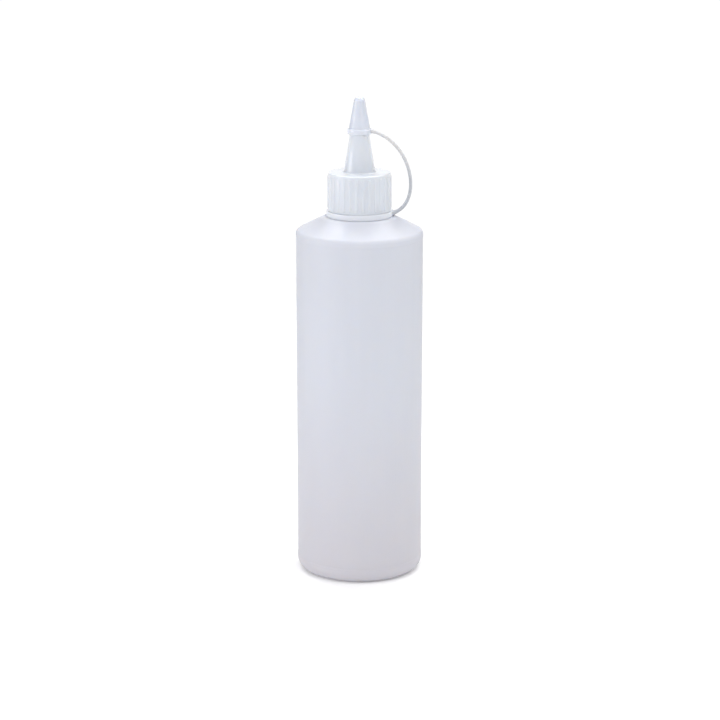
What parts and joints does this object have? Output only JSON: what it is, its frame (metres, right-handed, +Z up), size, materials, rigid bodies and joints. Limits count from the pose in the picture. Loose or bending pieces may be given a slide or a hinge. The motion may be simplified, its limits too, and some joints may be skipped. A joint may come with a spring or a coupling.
{
  "type": "condiment squeeze bottle",
  "caption": "Upright round squeeze bottle with a conical shoulder, a ribbed screw cap with a tapered spout, and a small tip cap tethered by a bending strap.",
  "frame": {"origin": "centre of the ring that the bottle stands on, on the surface below it", "axes": "+Z up along the bottle's axis, +X towards the side where the tether strap swings out, right-handed"},
  "size_m": [0.0624, 0.0624, 0.2379],
  "materials": {
    "bottle": "milky translucent polyethylene, soft satin",
    "closure": "milky polyethylene, satin",
    "tether": "milky polyethylene, satin"
  },
  "bodies": {
    "bottle": {"bottle": "bottle"},
    "tether_ring": {"tether_ring": "tether"},
    "spout_cap": {"spout_cap": "closure"},
    "tether_strap": {"tether_strap": "tether"},
    "tip_cap": {"tip_cap": "tether"}
  },
  "joints": [
    {"name": "cap_lift", "type": "slide", "parent": "bottle", "child": "tether_ring", "axis": [0, 0, 1], "range_m": [0, 0.0064]},
    {"name": "cap_turn", "type": "hinge", "parent": "tether_ring", "child": "spout_cap", "pos_m": [0, 0, 0.19], "axis": [0, 0, 1], "range_deg": [0, 540]},
    {"name": "tether_swivel", "type": "hinge", "parent": "tether_ring", "child": "tether_strap", "pos_m": [0, 0, 0.181], "axis": [0, 0, 1], "continuous": true},
    {"name": "tip_swing", "type": "hinge", "parent": "tether_strap", "child": "tip_cap", "pos_m": [0.015, 0, 0.223], "axis": [0, 1, 0], "range_deg": [0, 120], "deforming": ["tether_strap"]}
  ],
  "couplings": [
    {"joint": "cap_lift", "follows": "cap_turn", "m_per_rad": 0.00067372}
  ]
}
